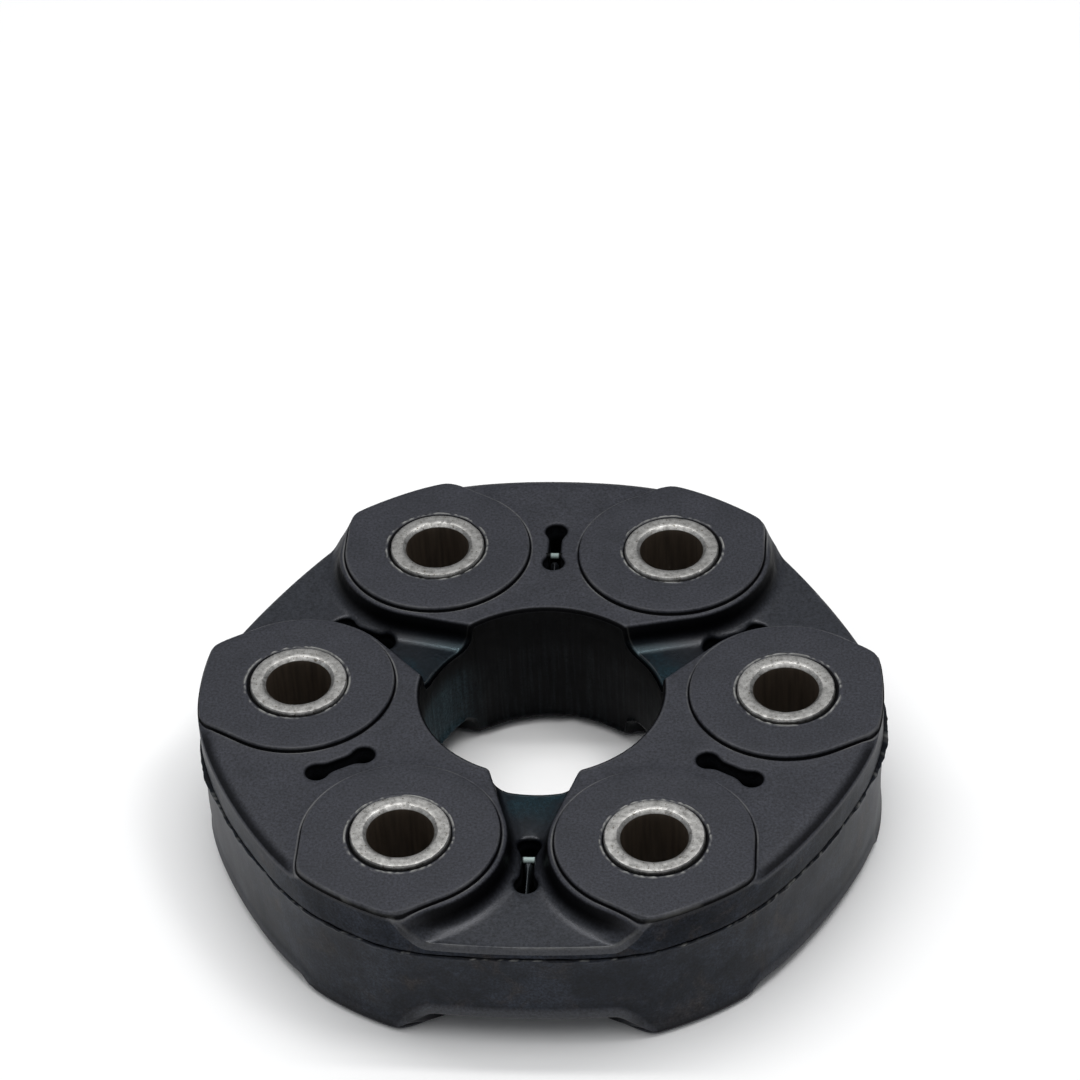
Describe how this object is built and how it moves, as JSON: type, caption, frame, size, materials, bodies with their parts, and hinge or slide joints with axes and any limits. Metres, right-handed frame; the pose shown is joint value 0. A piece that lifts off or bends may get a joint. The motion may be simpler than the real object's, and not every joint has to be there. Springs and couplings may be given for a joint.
{
  "type": "driveshaft flex disc",
  "caption": "Moulded rubber coupling disc with steel bolt sleeves joined by cord loops, high and low webs by turns, slotted webs and an open centre bore.",
  "frame": {"origin": "on the disc's axis, in the plane of the sleeves' lower end faces, on which the disc stands", "axes": "+Z along the disc's axis, towards the face with the parting ridge nearer to it; +X through the centre of sleeve 1"},
  "size_m": [0.127, 0.1231, 0.0305],
  "materials": {
    "rubber": "matt moulded black rubber with fine scuffs",
    "sleeve_steel": "turned steel, satin and slightly stained",
    "cord": "wound polyester cord",
    "collar": "moulded glass-filled nylon"
  },
  "bodies": {
    "root": {"rubber_body": "rubber", "steel_sleeve_1": "sleeve_steel", "steel_sleeve_2": "sleeve_steel", "steel_sleeve_3": "sleeve_steel", "steel_sleeve_4": "sleeve_steel", "steel_sleeve_5": "sleeve_steel", "steel_sleeve_6": "sleeve_steel", "middle_cord_loop_1": "cord", "middle_cord_loop_2": "cord", "middle_cord_loop_3": "cord", "upper_cord_loop_1": "cord", "upper_cord_loop_2": "cord", "upper_cord_loop_3": "cord", "lower_cord_loop_1": "cord", "lower_cord_loop_2": "cord", "lower_cord_loop_3": "cord", "upper_collar_1": "collar", "upper_collar_2": "collar", "upper_collar_3": "collar", "upper_collar_4": "collar", "upper_collar_5": "collar", "upper_collar_6": "collar", "lower_collar_1": "collar", "lower_collar_2": "collar", "lower_collar_3": "collar", "lower_collar_4": "collar", "lower_collar_5": "collar", "lower_collar_6": "collar"}
  },
  "joints": []
}
